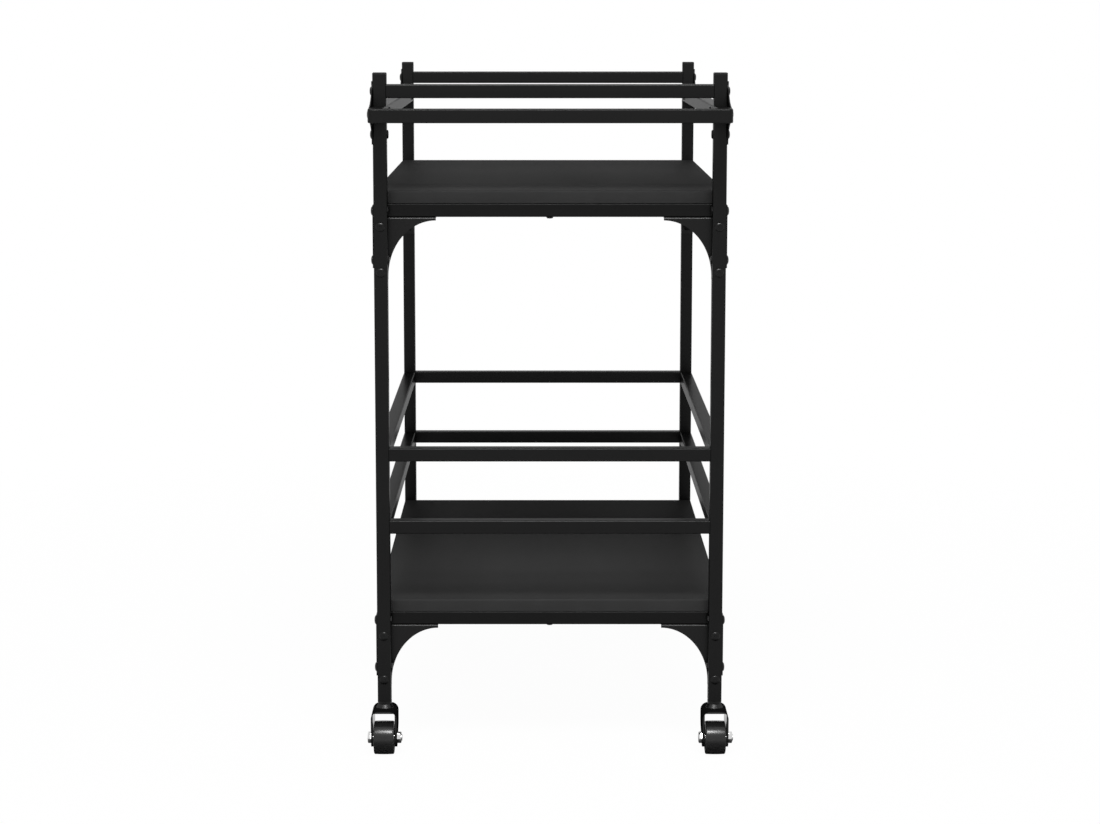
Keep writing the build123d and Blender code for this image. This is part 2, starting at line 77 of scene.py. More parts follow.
# Domed ends: the scale of each loop on the one below, and its height as a share of the whole
BUTTON_DOME = ((1.0, 0.12), (0.93, 0.35), (0.9, 0.58), (0.84, 0.78), (0.74, 0.92), (0.66, 0.985))
NUT_DOME = ((0.95, 0.74), (0.88, 0.88), (0.75, 0.97), (0.5, 1.0))
PAN_DOME = ((1.0, 0.5), (0.95, 0.75), (0.86, 0.92), (0.78, 1.0))

# Shares of the fasteners' own sizes
SOCKET_TAPER = 0.8  # floor of a socket, of its mouth
SHANK_TAPER = 0.8  # end of a shank, of its radius
SHANK_TIP = 0.2  # length of that taper, of the radius
NUT_WALL = 0.5  # straight wall of a cap nut, of its height
NUT_SKIRT = 0.56  # foot of its dome, of its height
NUT_SKIRT_RADIUS = 0.86  # foot of its dome, of its radius
CROSS_DEPTH = 0.6  # depth of a cross slot, of the head's height
HEX_ROUND = 0.475  # round end of a hexagon, of its width across flats
HEX_BITE = 0.5  # height of the cut to that round, of its reach
AXLE_GROOVE = 0.92  # groove in an axle's thread, of its radius
AXLE_TAPER = 0.85  # end of an axle, of its radius
AXLE_STEPS = (0.3, 0.35, 0.35)  # groove, thread and taper, of the length beyond the nut


def length(title, words, default):
    """A size in metres that a user may change."""
    return FloatProperty(name=title, description=words, default=default, min=0.0, subtype="DISTANCE",
                         unit="LENGTH")


def share(title, words, default):
    """A number from 0 to 1 that a user may change."""
    return FloatProperty(name=title, description=words, default=default, min=0.0, max=1.0, subtype="FACTOR")


def colour(title, words, default):
    """A colour that a user may change, in scene-linear values."""
    return FloatVectorProperty(name=title, description=words, default=default, size=3, min=0.0, max=1.0,
                               subtype="COLOR")


def count(title, words, default, low, high):
    """A whole number that a user may change."""
    return IntProperty(name=title, description=words, default=default, min=low, max=high)


def power(title, words, default):
    """A lamp's power in watts that a user may change."""
    return FloatProperty(name=title, description=words, default=default, min=0.0, subtype="POWER",
                         unit="POWER")


class CartFinishes(bpy.types.PropertyGroup):
    """Colours and gloss of the cart's surfaces."""

    coat: colour("Powder coat", "Colour of the tubes, plates and gussets", (0.0035, 0.0035, 0.0035))
    coat_roughness: share("Coat roughness", "Roughness of the powder coat", 0.32)
    board: colour("Board", "Colour of the boards' laminate", (0.02, 0.02, 0.02))
    board_roughness: share("Board roughness", "Roughness of the laminate", 0.62)
    band: colour("Edge band", "Colour of the boards' edge bands", (0.023, 0.023, 0.023))
    fork: colour("Fork enamel", "Colour of the caster forks", (0.006, 0.006, 0.006))
    tread: colour("Wheel", "Colour of the wheels", (0.011, 0.011, 0.011))
    plating: colour("Plating", "Colour of the axles and bushings", (0.66, 0.66, 0.66))
    black_oxide: colour("Bolts", "Colour of the blackened bolts, nuts and screws", (0.004, 0.004, 0.004))
    plastic: colour("Plugs", "Colour of the caps, plugs and sockets", (0.01, 0.01, 0.01))


class CartSizes(bpy.types.PropertyGroup):
    """Sizes of the pieces that are modelled here."""

    board_round: length("Board edge", "Radius of the boards' upper edges", 0.002)
    board_low_round: length("Board low edge", "Radius of the boards' lower edges", 0.0003)
    head_radius: length("Bolt head", "Radius of the button heads", 0.00575)
    head_height: length("Bolt head height", "Height of the button heads", 0.0023)
    head_socket: length("Bolt socket", "Radius of the six-sided socket in a head", 0.0018)
    socket_depth: length("Socket depth", "Depth of the socket in a head", 0.0003)
    shank_radius: length("Bolt shank", "Radius of the bolts' shanks", 0.003)
    nut_radius: length("Cap nut", "Radius over the corners of a cap nut", 0.00577)
    nut_height: length("Cap nut height", "Height of a cap nut", 0.0021)
    screw_radius: length("Screw head", "Radius of the pan heads", 0.004)
    screw_height: length("Screw head height", "Height of the pan heads", 0.0022)
    screw_shank: length("Screw shank", "Radius of the screws' shanks", 0.002)
    cross_width: length("Cross slot", "Width of the slots in a pan head", 0.0011)
    cross_reach: length("Cross reach", "Reach of the slots from the middle", 0.0021)
    round_steps: count("Round steps", "Sides of the small round pieces", 24, 12, 48)
    wheel_width: length("Wheel width", "Width of a wheel over its tread", 0.0238)
    wheel_edge: length("Wheel edge", "Radius of the tread's edges", 0.0016)
    wheel_crown: length("Wheel crown", "Rise of the middle of the tread over its edges", 0.0003)
    wheel_rim: length("Wheel rim", "Height of the rim round a wheel's side", 0.0045)
    wheel_recess: length("Wheel recess", "Depth of a wheel's side inside its rim", 0.0012)
    wheel_steps: count("Wheel steps", "Sides of the wheels", 96, 24, 160)
    rim_foot: length("Rim foot", "Slope at the foot of a wheel's rim", 0.0006)
    rim_chamfer: length("Rim chamfer", "Width of the chamfer on the rim's inner edge", 0.0003)
    rim_chamfer_height: length("Rim chamfer height", "Height of that chamfer", 0.0004)
    bushing_radius: length("Bushing", "Radius of the bushing in a wheel", 0.006)
    bushing_chamfer: length("Bushing chamfer", "Chamfer at the bushing's ends, and its clearances", 0.0004)
    axle_radius: length("Axle", "Radius of the axle bolts", 0.004)
    axle_flats: length("Axle hexagon", "Width of the axles' heads and nuts across flats", 0.012)
    axle_head: length("Axle head", "Height of the axles' heads", 0.0042)
    axle_nut: length("Axle nut", "Height of the axles' nuts", 0.005)


class CartStage(bpy.types.PropertyGroup):
    """Camera and light."""

    camera_distance: length("Camera distance", "Camera to the front faces of the posts", 2.765)
    camera_height: length("Camera height", "Camera above the floor", 0.8779)
    camera_side: FloatProperty(name="Camera side", description="Camera right of the middle", default=-0.0135,
                               unit="LENGTH")
    camera_tilt: FloatProperty(name="Camera tilt", description="Downward tilt of the camera", default=0.13196,
                               subtype="ANGLE", unit="ROTATION")
    lens: FloatProperty(name="Lens", description="Focal length", default=77.97, min=1.0,
                        subtype="DISTANCE_CAMERA")
    shift_x: FloatProperty(name="Shift X", description="Sideways lens shift", default=0.0106)
    shift_y: FloatProperty(name="Shift Y", description="Upward lens shift", default=-0.075)
    ambient: share("Ambient", "Strength of the even light from all round", 0.3)
    floor_size: length("Floor size", "Middle of the floor to its edges", 9.0)
    floor_drop: length("Floor drop", "Floor below the wheels", 0.0002)
    floor_grey: share("Floor grey", "Lightness of the floor where light falls on it", 0.9)
    floor_seen: share("Floor white", "White share of the floor under the cart, as the camera sees it", 0.975)
    floor_near: length("Floor near", "Distance from the middle within which the floor keeps that share", 0.5)
    floor_far: length("Floor far", "Distance from the middle beyond which the floor is all white", 1.8)
    # Painted shadow: round each wheel the floor is dark in reflections only, for the wheels' contact shadows.
    shadow_mirror_near: length("Mirror near", "Distance from a wheel within which the floor is mirrored dark", 0.015)
    shadow_mirror_far: length("Mirror far", "Distance from a wheel beyond which the floor is mirrored white", 0.2)
    top_power: power("Top", "Power of the upper softbox", 140.0)
    key_power: power("Key", "Power of the front softbox", 32.0)
    wide_power: power("Wide", "Power of the wide front softbox", 24.0)


def finishes():
    """The scene's finishes."""
    return bpy.context.scene.cart_finishes


def sizes():
    """The scene's sizes of pieces."""
    return bpy.context.scene.cart_sizes


def stage():
    """The scene's settings for camera and light."""
    return bpy.context.scene.cart_stage


def maths(tree, operation, first, second=None):
    """A math node on sockets or numbers. Gives its output."""
    step = tree.nodes.new("ShaderNodeMath")
    step.operation = operation
    for socket, value in zip(step.inputs, (first, second)):
        if isinstance(value, float):
            socket.default_value = value
        elif value:
            tree.links.new(value, socket)
    return step.outputs["Value"]


def vector_maths(tree, operation, first, second=None):
    """A vector math node on a socket and a fixed vector. Gives its output."""
    step = tree.nodes.new("ShaderNodeVectorMath")
    step.operation = operation
    tree.links.new(first, step.inputs[0])
    if second:
        step.inputs[1].default_value = second
    return step.outputs["Value" if operation == "LENGTH" else "Vector"]


def remap(tree, value, source=(0.0, 1.0), target=(0.0, 1.0)):
    """A node that maps one span of numbers on another. Gives its output."""
    step = tree.nodes.new("ShaderNodeMapRange")
    for name, number in zip(("From Min", "From Max", "To Min", "To Max"), (*source, *target)):
        step.inputs[name].default_value = number
    tree.links.new(value, step.inputs["Value"])
    return step.outputs["Result"]


def noise(tree, place, scale, detail):
    """A noise texture. Gives its factor."""
    step = tree.nodes.new("ShaderNodeTexNoise")
    step.inputs["Scale"].default_value = scale
    step.inputs["Detail"].default_value = detail
    tree.links.new(place, step.inputs["Vector"])
    return step.outputs["Fac"]


def join_shaders(tree, factor, first, second, output):
    """Mixes two shaders by a factor into a new output node."""
    blend = tree.nodes.new("ShaderNodeMixShader")
    tree.links.new(factor, blend.inputs["Fac"])
    tree.links.new(first, blend.inputs[1])
    tree.links.new(second, blend.inputs[2])
    tree.links.new(blend.outputs["Shader"], tree.nodes.new(output).inputs["Surface"])


# Gloss face-on and edge-on, and the facing values between which the first gives way to the second
Gloss = namedtuple("Gloss", "face_on edge_on start stop")

PATCH_DETAIL = 4.0
GRAIN_DETAIL = 2.0
BUMP_STRENGTH = 0.35


def surface(name, base, roughness, grain, depth, mottle=18.0, spread=0.18, rough_spread=0.06,
            stretch=(1, 1, 1), specular=0.5, metallic=0.0, gloss=None):
    """A finish with mottled colour, uneven roughness and a fine grain, laid on object coordinates.

    mottle and grain are the patches' and the grain's texture scales, spread and rough_spread how far
    the colour and the roughness vary, and depth is the grain's, in metres. gloss, if given, takes the
    place of specular, for a finish whose gloss changes with the angle that it is seen at.
    """
    found = bpy.data.materials.get(name)
    if found:
        return found
    material = bpy.data.materials.new(name)
    material.use_nodes = True
    material.diffuse_color = (*base, 1.0)
    tree = material.node_tree
    nodes, links = tree.nodes, tree.links
    shader = nodes["Principled BSDF"]
    shader.inputs["Metallic"].default_value = metallic
    turn = nodes.new("ShaderNodeMapping")
    turn.inputs["Scale"].default_value = stretch
    links.new(nodes.new("ShaderNodeTexCoord").outputs["Object"], turn.inputs["Vector"])
    place = turn.outputs["Vector"]

    tint = nodes.new("ShaderNodeMix")
    tint.data_type = "RGBA"
    tint.inputs["A"].default_value = (*[c * (1 - spread) for c in base], 1.0)
    tint.inputs["B"].default_value = (*[min(1.0, c * (1 + spread)) for c in base], 1.0)
    links.new(noise(tree, place, mottle, PATCH_DETAIL), tint.inputs["Factor"])
    links.new(tint.outputs["Result"], shader.inputs["Base Color"])

    fine = noise(tree, place, grain, GRAIN_DETAIL)
    rough = (max(0.0, roughness - rough_spread), min(1.0, roughness + rough_spread))
    links.new(remap(tree, fine, target=rough), shader.inputs["Roughness"])
    shader.inputs["Specular IOR Level"].default_value = gloss.face_on if gloss else specular
    if gloss:
        facing = nodes.new("ShaderNodeLayerWeight").outputs["Facing"]
        level = remap(tree, facing, (gloss.start, gloss.stop), (gloss.face_on, gloss.edge_on))
        links.new(level, shader.inputs["Specular IOR Level"])
    bump = nodes.new("ShaderNodeBump")
    bump.inputs["Strength"].default_value = BUMP_STRENGTH
    bump.inputs["Distance"].default_value = depth
    links.new(fine, bump.inputs["Height"])
    links.new(bump.outputs["Normal"], shader.inputs["Normal"])
    return material


def powder_coat():
    """The coat on the tubes and plates, which goes dark edge-on."""
    f = finishes()
    gloss = Gloss(face_on=0.14, edge_on=0.008, start=0.45, stop=0.8)
    return surface("powder_coat", f.coat, f.coat_roughness, grain=900.0, depth=0.00006, gloss=gloss)


def fold_highlight_coat():
    """The same coat on the folded gussets, brighter along the fold: a painted highlight, from gloss raised
    well above the coat's own on the fold's tilted faces.
    """
    f = finishes()
    gloss = Gloss(face_on=0.18, edge_on=1.0, start=0.05, stop=0.3)
    return surface("fold_highlight_coat", f.coat, f.coat_roughness, grain=900.0, depth=0.00003, gloss=gloss)


def painted_shade_coat():
    """The same coat on the cross rails under the boards, with less gloss on their corners: painted shade for
    the boards' shadow on those corners.
    """
    f = finishes()
    gloss = Gloss(face_on=0.115, edge_on=0.01, start=0.02, stop=0.15)
    return surface("painted_shade_coat", f.coat, f.coat_roughness, grain=900.0, depth=0.00003, gloss=gloss)


def laminate():
    """The boards' faces, faintly streaked along the cart and dark at low angles."""
    f = finishes()
    gloss = Gloss(face_on=0.13, edge_on=0.0025, start=0.35, stop=0.85)
    return surface("black_laminate", f.board, f.board_roughness, grain=1400.0, depth=0.00005, mottle=11.0,
                   spread=0.3, stretch=(1.0, 0.12, 1.0), gloss=gloss)


def edge_band():
    """The bands round the boards' edges."""
    return surface("edge_band", finishes().band, 0.5, grain=1100.0, depth=0.00004, mottle=30.0, specular=0.12)


def fork_enamel():
    """Enamel that stays dark edge-on, but is polished to a mirror on the legs' inner faces: a painted
    reflection that makes them show white.
    """
    if "fork_enamel" in bpy.data.materials:
        return bpy.data.materials["fork_enamel"]
    # Painted reflection: mirror gloss laid on the legs' inner faces only, so they reflect white.
    reflection_gloss = (("Specular IOR Level", 1.0), ("Roughness", 0.05))
    mask_start, mask_end = 0.6, 0.8  # of the way from the fork's middle to its sides
    gloss = Gloss(face_on=0.3, edge_on=0.0, start=0.25, stop=0.65)
    material = surface("fork_enamel", finishes().fork, 0.2, grain=500.0, depth=0.00004, gloss=gloss)
    tree = material.node_tree
    nodes, links = tree.nodes, tree.links
    place = nodes.new("ShaderNodeTexCoord")
    where, normal = nodes.new("ShaderNodeSeparateXYZ"), nodes.new("ShaderNodeSeparateXYZ")
    links.new(place.outputs["Object"], where.inputs["Vector"])
    links.new(place.outputs["Normal"], normal.inputs["Vector"])

    low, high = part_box("fork_front_right")
    leg = (high.x - low.x) / 2
    outward = maths(tree, "MULTIPLY", normal.outputs["X"], maths(tree, "SIGN", where.outputs["X"]))
    from_middle = maths(tree, "SUBTRACT", maths(tree, "ABSOLUTE", where.outputs["X"]), (low.x + high.x) / 2)
    inside = remap(tree, maths(tree, "MULTIPLY", outward, from_middle), (-leg * mask_start, -leg * mask_end))
    for name, value in reflection_gloss:
        socket = nodes["Principled BSDF"].inputs[name]
        blend = nodes.new("ShaderNodeMix")
        blend.inputs["B"].default_value = value
        links.new(inside, blend.inputs["Factor"])
        links.new(socket.links[0].from_socket, blend.inputs["A"])
        links.new(blend.outputs["Result"], socket)
    return material


def wheel_plastic():
    """The wheels' treads and rounded edges."""
    return surface("wheel_plastic", finishes().tread, 0.24, grain=700.0, depth=0.00001, mottle=60.0,
                   specular=0.34)


def polished_plastic():
    """The wheels' flat sides."""
    return surface("polished_plastic", finishes().tread, 0.06, grain=700.0, depth=0.000002, mottle=60.0,
                   rough_spread=0.02, specular=1.0)


def bright_plating():
    """The axle bolts and the bushings."""
    return surface("bright_plating", finishes().plating, 0.16, grain=1500.0, depth=0.00002, mottle=200.0,
                   spread=0.08, metallic=1.0)


def blackened_steel():
    """The bolts, screws and caster stems."""
    return surface("blackened_steel", finishes().black_oxide, 0.16, grain=1200.0, depth=0.00001, mottle=150.0,
                   specular=0.17)


def dull_steel():
    """The cap nuts, which shine less than the bolts."""
    return surface("dull_steel", finishes().black_oxide, 0.3, grain=1200.0, depth=0.00001, mottle=150.0,
                   specular=0.05)


def moulded_plastic():
    """The post caps, rail plugs and stem sockets."""
    return surface("moulded_plastic", finishes().plastic, 0.5, grain=1600.0, depth=0.00005, mottle=90.0,
                   specular=0.15)


def paint(node, material):
    """Gives a CAD node its finish."""
    slots = frame["nodes"][node].data.materials
    slots.clear()
    slots.append(material)


def link_object(name, data):
    """A new object in the scene."""
    obj = bpy.data.objects.new(name, data)
    bpy.context.scene.collection.objects.link(obj)
    return obj


def piece(name, bm, materials, body, slot, *nodes, sharp=SHARP):
    """Turns a bmesh into a finished object on a body, in place of CAD nodes."""
    bmesh.ops.remove_doubles(bm, verts=bm.verts, dist=MERGE)
    bmesh.ops.recalc_face_normals(bm, faces=bm.faces)
    mesh = bpy.data.meshes.new(name)
    bm.to_mesh(mesh)
    bm.free()
    for material in materials:
        mesh.materials.append(material)
    mesh.shade_smooth()
    mesh.set_sharp_from_angle(angle=math.radians(sharp))
    obj = link_object(name, mesh)
    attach(obj, body)
    if nodes:
        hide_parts(*nodes)
    return obj


def solids(node):
    """Lowest and highest corners of each separate solid in a CAD node."""
    bm = bmesh.new()
    bm.from_mesh(frame["nodes"][node].data)
    bmesh.ops.remove_doubles(bm, verts=bm.verts, dist=MERGE)
    waiting, boxes = set(bm.verts), []
    while waiting:
        group, front = set(), [waiting.pop()]
        while front:
            vert = front.pop()
            group.add(vert)
            for edge in vert.link_edges:
                other = edge.other_vert(vert)
                if other in waiting:
                    waiting.discard(other)
                    front.append(other)
        low = Vector([min(v.co[i] for v in group) for i in range(3)])
        high = Vector([max(v.co[i] for v in group) for i in range(3)])
        boxes.append((low, high))
    bm.free()
    return sorted(boxes, key=lambda b: tuple(round(c, 4) for c in b[0]))


def seats(node, along, height=None, outward=1):
    """A matrix for each solid of a fastener node, and the length of the first.

    A matrix turns +Z out of the seat and puts the seat at the origin. along says whether the fastener
    lies along its longest or its shortest side, and outward is -1 for one that points inwards. height
    is that of the head; without it the whole solid stands on its seat.
    """
    places, reaches = [], []
    for low, high in solids(node):
        middle, size = (low + high) / 2, high - low
        lengths = list(size)
        axis = lengths.index(max(lengths) if along == "longest" else min(lengths))
        if axis == 2:
            sign = -1
        else:
            side = middle.x if axis == 0 else middle.y - MIDDLE_Y
            sign = outward * (1 if side > 0 else -1)
        end = high[axis] if sign > 0 else low[axis]
        seat = middle.copy()
        seat[axis] = end - sign * (height or size[axis])
        out = Vector((0, 0, 0))
        out[axis] = sign
        turn = out.to_track_quat("Z", "Y").to_matrix().to_4x4()
        places.append(Matrix.Translation(seat) @ turn)
        reaches.append(max(lengths))
    return places, reaches[0]


def scatter(template, places):
    """One bmesh with a copy of a template at each place."""
    mesh = bpy.data.meshes.new("template")
    template.to_mesh(mesh)
    template.free()
    bm = bmesh.new()
    for place in places:
        before = len(bm.verts)
        bm.from_mesh(mesh)
        bm.verts.ensure_lookup_table()
        bmesh.ops.transform(bm, matrix=place, verts=bm.verts[before:])
    bpy.data.meshes.remove(mesh)
    return bm


def verts_in(geometry):
    """The vertices among what an operator made."""
    return [g for g in geometry if isinstance(g, bmesh.types.BMVert)]


def ring(bm, radius, z, steps):
    """Edges of a new circle at a height."""
    verts = bmesh.ops.create_circle(bm, cap_ends=False, radius=radius, segments=steps)["verts"]
    bmesh.ops.translate(bm, vec=(0, 0, z), verts=verts)
    return list({edge for vert in verts for edge in vert.link_edges})


def pull(bm, edges, scale=1.0, rise=0.0):
    """Extrudes a loop of edges, then scales it about Z and lifts it. Gives the new loop."""
    made = bmesh.ops.extrude_edge_only(bm, edges=edges)["geom"]
    verts = verts_in(made)
    bmesh.ops.scale(bm, vec=(scale, scale, 1.0), verts=verts)
    bmesh.ops.translate(bm, vec=(0, 0, rise), verts=verts)
    fresh = set(verts)
    return [g for g in made if isinstance(g, bmesh.types.BMEdge) and set(g.verts) <= fresh]


def dome(bm, loop, steps, height, start=0.0):
    """Grows a loop upwards in steps of (scale, share of the height). Gives the last loop."""
    for scale, level in steps:
        loop = pull(bm, loop, scale=scale, rise=(level - start) * height)
        start = level
    return loop


def close(bm, edges):
    """Fills a loop with one face."""
    bmesh.ops.contextual_create(bm, geom=edges)


def turn_hexagon(bm, verts):
    """Turns six-sided work about Z from a corner to a flat."""
    bmesh.ops.rotate(bm, cent=(0, 0, 0), matrix=Matrix.Rotation(HEX_TURN, 3, "Z"), verts=verts)


def add_shank(bm, rim, rim_radius, radius, reach):
    """Closes the underside of a head and grows the shank behind it."""
    tip = radius * SHANK_TIP
    neck = pull(bm, rim, scale=radius / rim_radius)
    shaft = pull(bm, neck, rise=-(reach - tip))
    close(bm, pull(bm, shaft, scale=SHANK_TAPER, rise=-tip))


def button_bolt(reach):
    """A low domed bolt with a six-sided socket, its seat at the origin."""
    s = sizes()
    bm = bmesh.new()
    rim = ring(bm, s.head_radius, 0.0, s.round_steps)
    crown = dome(bm, rim, BUTTON_DOME, s.head_height)
    socket = ring(bm, s.head_socket, s.head_height, HEX_SIDES)
    bmesh.ops.bridge_loops(bm, edges=crown + socket)
    close(bm, pull(bm, socket, scale=SOCKET_TAPER, rise=-s.socket_depth))
    add_shank(bm, rim, s.head_radius, s.shank_radius, reach)
    return bm


def cap_nut():
    """A thin six-sided nut with a domed end, its seat at the origin."""
    s = sizes()
    bm = bmesh.new()
    foot = ring(bm, s.nut_radius, 0.0, HEX_SIDES)
    close(bm, foot)
    top = pull(bm, foot, rise=NUT_WALL * s.nut_height)
    skirt = ring(bm, s.nut_radius * NUT_SKIRT_RADIUS, NUT_SKIRT * s.nut_height, s.round_steps)
    bmesh.ops.bridge_loops(bm, edges=top + skirt)
    close(bm, dome(bm, skirt, NUT_DOME, s.nut_height, start=NUT_SKIRT))
    turn_hexagon(bm, bm.verts)
    return bm


def pan_screw(reach):
    """A pan-head screw with a cross slot, its seat at the origin."""
    s = sizes()
    bm = bmesh.new()
    rim = ring(bm, s.screw_radius, 0.0, s.round_steps)
    crown = dome(bm, rim, PAN_DOME, s.screw_height)
    core = bmesh.ops.create_grid(bm, x_segments=1, y_segments=1, size=s.cross_width / 2)["verts"]
    bmesh.ops.translate(bm, vec=(0, 0, s.screw_height), verts=core)
    square = core[0].link_faces[0]
    for edge in list(square.edges):
        out = (edge.verts[0].co + edge.verts[1].co) / 2 - Vector((0, 0, s.screw_height))
        arm = verts_in(bmesh.ops.extrude_edge_only(bm, edges=[edge])["geom"])
        bmesh.ops.translate(bm, vec=out.normalized() * (s.cross_reach - s.cross_width / 2), verts=arm)
    cross = [f for f in bm.faces if all(abs(v.co.z - s.screw_height) < SAME_HEIGHT for v in f.verts)]
    outline = [e for f in cross for e in f.edges if len([g for g in e.link_faces if g in cross]) == 1]
    bmesh.ops.bridge_loops(bm, edges=crown + outline)
    sunk = bmesh.ops.extrude_face_region(bm, geom=cross)["geom"]
    bmesh.ops.delete(bm, geom=cross, context="FACES_ONLY")
    bmesh.ops.translate(bm, vec=(0, 0, -s.screw_height * CROSS_DEPTH), verts=verts_in(sunk))
    add_shank(bm, rim, s.screw_radius, s.screw_shank, reach)
    return bm


def turned(profile, steps):
    """A full turn about X of a closed profile of (x, radius) points."""
    bm = bmesh.new()
    verts = [bm.verts.new((x, 0.0, r)) for x, r in profile]
    edges = [bm.edges.new((a, b)) for a, b in zip(verts, verts[1:] + verts[:1])]
    bmesh.ops.spin(bm, geom=verts + edges, cent=(0, 0, 0), axis=(1, 0, 0), dvec=(0, 0, 0),
                   angle=2 * math.pi, steps=steps, use_merge=True, use_duplicate=False)
    return bm


class CART_OT_coat_frame(bpy.types.Operator):
    """Give the tubes, plates and gussets their powder coat, and the plugs and stems their finishes"""

    bl_idname = "cart.coat_frame"
    bl_label = "Coat Frame"

    def execute(self, context):
        for entry in frame["record"]["subparts"]:
            if entry["material_slot"] == "frame":
                paint(entry["node"], powder_coat())
        for level in LEVELS:
            for end in ENDS:
                # painted highlight: the gussets take a copy of the coat whose gloss rises along the fold
                paint(f"{level}_{end}_gussets", fold_highlight_coat())
                # painted shade: the shelf rails take a copy of the coat whose corners stay dark, as if
                # shadowed by the boards
                paint(f"{level}_shelf_rail_{end}", painted_shade_coat())
        for node in ("post_caps", "rail_plugs", "stem_sockets"):
            paint(node, moulded_plastic())
        paint("caster_stems", blackened_steel())
        return {"FINISHED"}


def bevel(bm, edges, radius, segments):
    """Rounds some edges of a board."""
    bmesh.ops.bevel(bm, geom=edges, offset=radius, segments=segments, profile=0.5, affect="EDGES",
                    material=-1)


class CART_OT_lay_boards(bpy.types.Operator):
    """Lay the two boards, with laminated faces and banded edges"""

    bl_idname = "cart.lay_boards"
    bl_label = "Lay Boards"

    def execute(self, context):
        for level in LEVELS:
            low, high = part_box(f"{level}_shelf")
            bm = bmesh.new()
            bmesh.ops.create_cube(bm, size=1.0)
            bmesh.ops.scale(bm, vec=high - low, verts=bm.verts)
            bmesh.ops.translate(bm, vec=(low + high) / 2, verts=bm.verts)
            for face in bm.faces:
                is_flat = abs(face.normal.z) > 0.5
                face.material_index = 0 if is_flat else 1
            middle_z = (low.z + high.z) / 2
            upper = [edge for edge in bm.edges if any(vert.co.z > middle_z for vert in edge.verts)]
            bevel(bm, upper, sizes().board_round, segments=3)
            lower = [edge for edge in bm.edges if all(vert.co.z < middle_z for vert in edge.verts)]
            bevel(bm, lower, sizes().board_low_round, segments=1)
            piece(f"{level}_board", bm, (laminate(), edge_band()), "cart", "board", f"{level}_shelf")
        return {"FINISHED"}


class CART_OT_fit_bolts(bpy.types.Operator):
    """Fit the button-head bolts through the posts and rails"""

    bl_idname = "cart.fit_bolts"
    bl_label = "Fit Bolts"

    def execute(self, context):
        height = sizes().head_height
        for node in ("side_bolts", "rail_bolts", "end_bolts"):
            places, reach = seats(node, "longest", height)
            bm = scatter(button_bolt(reach - height), places)
            piece(f"button_{node}", bm, (blackened_steel(),), "cart", "fastener", node)
        return {"FINISHED"}


class CART_OT_fit_nuts(bpy.types.Operator):
    """Fit the cap nuts on the inner faces"""

    bl_idname = "cart.fit_nuts"
    bl_label = "Fit Cap Nuts"

    def execute(self, context):
        places, _ = seats("cap_nuts", "shortest", outward=-1)
        piece("domed_cap_nuts", scatter(cap_nut(), places), (dull_steel(),), "cart", "fastener", "cap_nuts")
        return {"FINISHED"}


class CART_OT_fit_screws(bpy.types.Operator):
    """Fit the pan-head screws under the boards and flanges"""

    bl_idname = "cart.fit_screws"
    bl_label = "Fit Screws"

    def execute(self, context):
        height = sizes().screw_height
        for node in ("board_screws", "flange_screws"):
            places, reach = seats(node, "longest", height)
            bm = scatter(pan_screw(reach - height), places)
            piece(f"pan_{node}", bm, (blackened_steel(),), "cart", "fastener", node)
        return {"FINISHED"}


def wheel_body(radius):
    """A solid wheel about X, with a slightly crowned tread and shallow recesses in its sides."""
    edge_steps = 4
    shoulder, shoulder_fall = 0.45, 0.27  # of half the width, and of the crown, where the tread curves
    s = sizes()
    side, edge, crown = s.wheel_width / 2, s.wheel_edge, s.wheel_crown
    inner, recess = radius - s.wheel_rim, side - s.wheel_recess
    right = [(0.0, s.bushing_radius), (recess, s.bushing_radius), (recess, inner - s.rim_foot),
             (side - s.rim_chamfer, inner), (side, inner + s.rim_chamfer_height)]
    for step in range(edge_steps + 1):
        a = step * math.pi / (2 * edge_steps)
        right.append((side - edge * (1 - math.cos(a)), radius - crown - edge * (1 - math.sin(a))))
    right += [(side * shoulder, radius - crown * shoulder_fall), (0.0, radius)]
    left = [(-x, r) for x, r in reversed(right[1:-1])]
    bm = turned(right + left, s.wheel_steps)
    bm.normal_update()
    for face in bm.faces:
        is_side = abs(face.normal.x) > 0.95
        face.material_index = 1 if is_side else 0
    return bm


def bushing(half):
    """A sleeve through the wheel about X, with chamfered ends."""
    s = sizes()
    chamfer = s.bushing_chamfer
    right = [(half, s.axle_radius + chamfer), (half, s.bushing_radius - 2 * chamfer),
             (half - chamfer, s.bushing_radius - chamfer)]
    left = [(-x, r) for x, r in reversed(right)]
    return turned(right + left, s.round_steps)


def hexagon(bm, low, high, crowned):
    """A six-sided block on Z; its crowned ends are cut back to a round at the corners."""
    s = sizes()
    corner, round_off = s.axle_flats / math.sqrt(3), s.axle_flats * HEX_ROUND
    bite = (corner - round_off) * HEX_BITE
    wall = ring(bm, corner, low + (bite if low in crowned else 0.0), HEX_SIDES)
    turn_hexagon(bm, list({v for e in wall for v in e.verts}))
    far = pull(bm, wall, rise=high - low - bite * len(crowned))
    for end, loop in ((low, wall), (high, far)):
        if end in crowned:
            cut = ring(bm, round_off, end, s.round_steps)
            bmesh.ops.bridge_loops(bm, edges=loop + cut)
            loop = cut
        close(bm, loop)


def axle_bolt(head_face, nut_face, end):
    """A hexagon bolt on Z with its nut, from the head's top to the thread's end."""
    s = sizes()
    bm = bmesh.new()
    top = head_face - s.axle_head
    hexagon(bm, top, head_face, (top,))
    hexagon(bm, nut_face, nut_face + s.axle_nut, (nut_face + s.axle_nut,))
    loop = ring(bm, s.axle_radius, head_face, s.round_steps)
    loop = pull(bm, loop, rise=nut_face + s.axle_nut - head_face)
    rest = end - nut_face - s.axle_nut
    groove, thread, taper = AXLE_STEPS
    for scale, rise in ((AXLE_GROOVE, 0.0), (1.0, groove), (1.0 / AXLE_GROOVE, 0.0), (1.0, thread),
                        (AXLE_TAPER, taper)):
        loop = pull(bm, loop, scale=scale, rise=rise * rest)
    close(bm, loop)
    return bm


